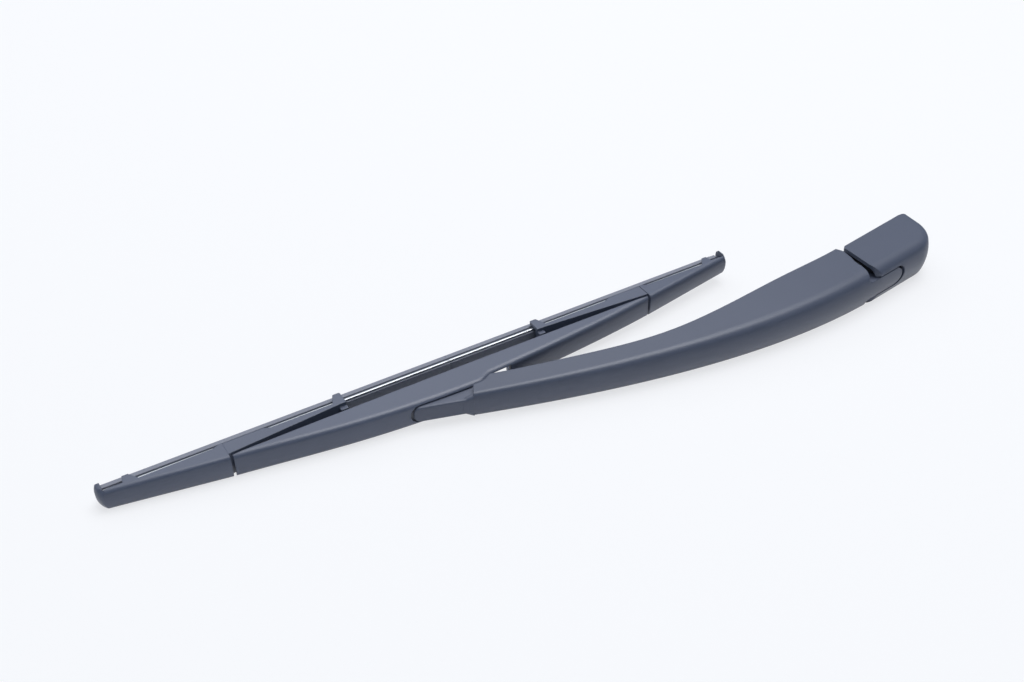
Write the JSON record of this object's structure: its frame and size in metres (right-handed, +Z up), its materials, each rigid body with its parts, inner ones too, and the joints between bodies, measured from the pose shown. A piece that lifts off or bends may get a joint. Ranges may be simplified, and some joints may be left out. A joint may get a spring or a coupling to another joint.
{
  "type": "wiper arm",
  "caption": "Rear wiper arm with flip-up nut cap, spring-loaded hinge, and a bridged blade with rocking yokes and a rubber refill",
  "frame": {"origin": "Axis of the shaft bore at the glass-side face of the mounting head's hub", "axes": "+X along the head away from the blade, +Y along the shaft towards the glass, +Z up as the arm lies on its side"},
  "size_m": [0.3919, 0.1136, 0.0216],
  "materials": {
    "black_plastic": "fine-grained satin black",
    "clip_plastic": "plain black",
    "cast_alloy": "as cast",
    "steel": "drawn",
    "refill_rubber": "dull black"
  },
  "bodies": {
    "head": {"mounting_head": "cast_alloy", "hinge_pin": "steel", "hook_pin": "steel"},
    "cap": {"nut_cap": "black_plastic"},
    "arm": {"arm_body": "black_plastic", "spring_pin": "steel", "tension_spring": "steel", "spring_hook": "steel", "blade_clip": "clip_plastic"},
    "blade": {"bridge": "black_plastic", "wiper_rubber": "refill_rubber", "upper_strip": "steel", "lower_strip": "steel"},
    "yoke_left": {"left_yoke": "black_plastic"},
    "yoke_right": {"right_yoke": "black_plastic"}
  },
  "joints": [
    {"name": "arm_hinge", "type": "hinge", "parent": "head", "child": "arm", "pos_m": [-0.029, -0.014, 0], "axis": [0, 0, 1], "range_deg": [0, 50], "deforming": ["tension_spring", "spring_hook"]},
    {"name": "cap_flip", "type": "hinge", "parent": "head", "child": "cap", "pos_m": [-0.0326, -0.0168, 0], "axis": [0, 0, 1], "range_deg": [-75, 0]},
    {"name": "blade_pivot", "type": "hinge", "parent": "arm", "child": "blade", "pos_m": [-0.2273, 0.0465, 0], "axis": [0, 0, 1], "range_deg": [-4, 25]},
    {"name": "left_yoke_pivot", "type": "hinge", "parent": "blade", "child": "yoke_left", "pos_m": [-0.31687, 0.06947, 0], "axis": [0, 0, 1], "range_deg": [-5, 5], "deforming": ["wiper_rubber", "upper_strip", "lower_strip"]},
    {"name": "right_yoke_pivot", "type": "hinge", "parent": "blade", "child": "yoke_right", "pos_m": [-0.13732, 0.04228, 0], "axis": [0, 0, 1], "range_deg": [-5, 5], "deforming": ["wiper_rubber", "upper_strip", "lower_strip"]}
  ]
}
